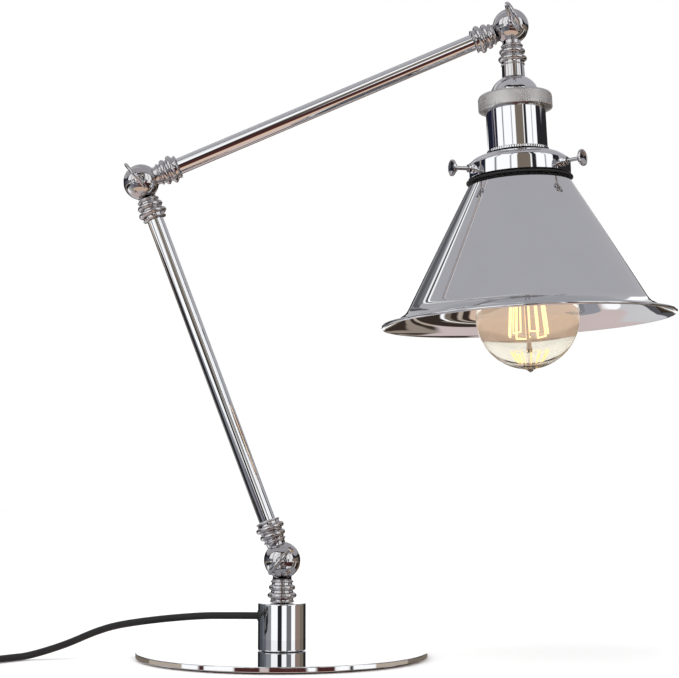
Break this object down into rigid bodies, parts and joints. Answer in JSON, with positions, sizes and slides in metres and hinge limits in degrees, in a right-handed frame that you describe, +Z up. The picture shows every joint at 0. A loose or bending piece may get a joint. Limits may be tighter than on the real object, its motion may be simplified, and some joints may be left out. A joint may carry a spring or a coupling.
{
  "type": "swing arm desk lamp",
  "caption": "Polished desk lamp with a round base, equal arms on ball knuckles with ring screws, and a flared cone shade round a bare globe bulb.",
  "frame": {"origin": "centre of the underside of the round base", "axes": "+Z up; the arms move in the XZ plane with the shade towards +X; the ring screws face -Y"},
  "size_m": [0.6493, 0.271, 0.4998],
  "materials": {
    "chrome": "polished",
    "satin_nickel": "satin",
    "rubber": "matte",
    "fibre": "matte",
    "cable": "satin",
    "black_plastic": "satin",
    "porcelain": "gloss",
    "brass": "satin",
    "amber_glass": "gloss",
    "filament": "satin"
  },
  "bodies": {
    "base": {"base_pad": "rubber", "base_plate": "chrome", "base_screw": "satin_nickel", "pillar": "chrome", "cord_grommet": "rubber", "pillar_knuckle": "chrome", "lower_friction_disc": "fibre", "cord_lead": "cable", "switch_base": "black_plastic", "switch_cover": "black_plastic", "cord_tail": "cable", "cord_coil": "cable", "coil_tie": "cable", "cord_end": "cable", "plug_body": "black_plastic", "plug_pin_1": "brass", "plug_pin_2": "brass"},
    "lower_arm": {"lower_arm_foot": "chrome", "lower_arm_end": "chrome", "lower_arm_tube": "chrome", "lower_arm_wire": "cable", "middle_friction_disc": "fibre"},
    "upper_arm": {"upper_arm_foot": "chrome", "upper_arm_end": "chrome", "upper_arm_tube": "chrome", "upper_arm_wire": "cable", "head_friction_disc": "fibre"},
    "head": {"head_knuckle": "chrome", "holder_cap": "chrome", "holder_lock_nut": "satin_nickel", "knurled_ring": "satin_nickel", "holder_body": "chrome", "socket_core": "porcelain", "screw_shell": "brass", "centre_contact": "brass", "shade_gallery": "chrome", "gallery_lock_ring": "black_plastic", "shade_gasket": "rubber", "shade": "chrome"},
    "bulb": {"bulb_cap": "brass", "bulb_glass": "amber_glass", "bulb_mount": "amber_glass", "bulb_filament": "filament"},
    "lower_ring_screw": {"lower_ring_screw": "chrome"},
    "middle_ring_screw": {"middle_ring_screw": "chrome"},
    "head_ring_screw": {"head_ring_screw": "chrome"},
    "gallery_thumbscrew_1": {"gallery_thumbscrew_1": "chrome"},
    "gallery_thumbscrew_2": {"gallery_thumbscrew_2": "chrome"},
    "gallery_thumbscrew_3": {"gallery_thumbscrew_3": "chrome"},
    "switch_rocker": {"switch_rocker": "black_plastic"}
  },
  "joints": [
    {"name": "lower_knuckle", "type": "hinge", "parent": "base", "child": "lower_arm", "pos_m": [0, 0, 0.0728], "axis": [0, 1, 0], "range_deg": [-35, 40]},
    {"name": "middle_knuckle", "type": "hinge", "parent": "lower_arm", "child": "upper_arm", "pos_m": [-0.11145, 0, 0.36528], "axis": [0, -1, 0], "range_deg": [-25, 85]},
    {"name": "head_knuckle_hinge", "type": "hinge", "parent": "upper_arm", "child": "head", "pos_m": [0.17738, 0, 0.48587], "axis": [0, -1, 0], "range_deg": [-5, 100]},
    {"name": "lower_ring_screw_turn", "type": "hinge", "parent": "base", "child": "lower_ring_screw", "pos_m": [0, 0, 0.0728], "axis": [0, -1, 0], "continuous": true},
    {"name": "middle_ring_screw_turn", "type": "hinge", "parent": "lower_arm", "child": "middle_ring_screw", "pos_m": [-0.11145, 0, 0.36528], "axis": [0, -1, 0], "continuous": true},
    {"name": "head_ring_screw_turn", "type": "hinge", "parent": "upper_arm", "child": "head_ring_screw", "pos_m": [0.17738, 0, 0.48587], "axis": [0, -1, 0], "continuous": true},
    {"name": "gallery_thumbscrew_1_turn", "type": "hinge", "parent": "head", "child": "gallery_thumbscrew_1", "pos_m": [0.14584, -0.01563, 0.3706], "axis": [-0.9195, -0.3907, -0.0424], "continuous": true},
    {"name": "gallery_thumbscrew_2_turn", "type": "hinge", "parent": "head", "child": "gallery_thumbscrew_2", "pos_m": [0.21453, -0.02407, 0.37376], "axis": [0.7978, -0.6018, 0.0368], "continuous": true},
    {"name": "gallery_thumbscrew_3_turn", "type": "hinge", "parent": "head", "child": "gallery_thumbscrew_3", "pos_m": [0.18749, 0.0397, 0.37252], "axis": [0.1217, 0.9925, 0.0056], "continuous": true},
    {"name": "bulb_turn", "type": "hinge", "parent": "head", "child": "bulb", "pos_m": [0.18793, 0, 0.25721], "axis": [0.0461, 0, -0.9989], "continuous": true},
    {"name": "switch_rock", "type": "hinge", "parent": "base", "child": "switch_rocker", "pos_m": [-0.23145, -0.082, 0.0125], "axis": [0.7882, -0.6154, 0], "range_deg": [-7, 7]}
  ]
}
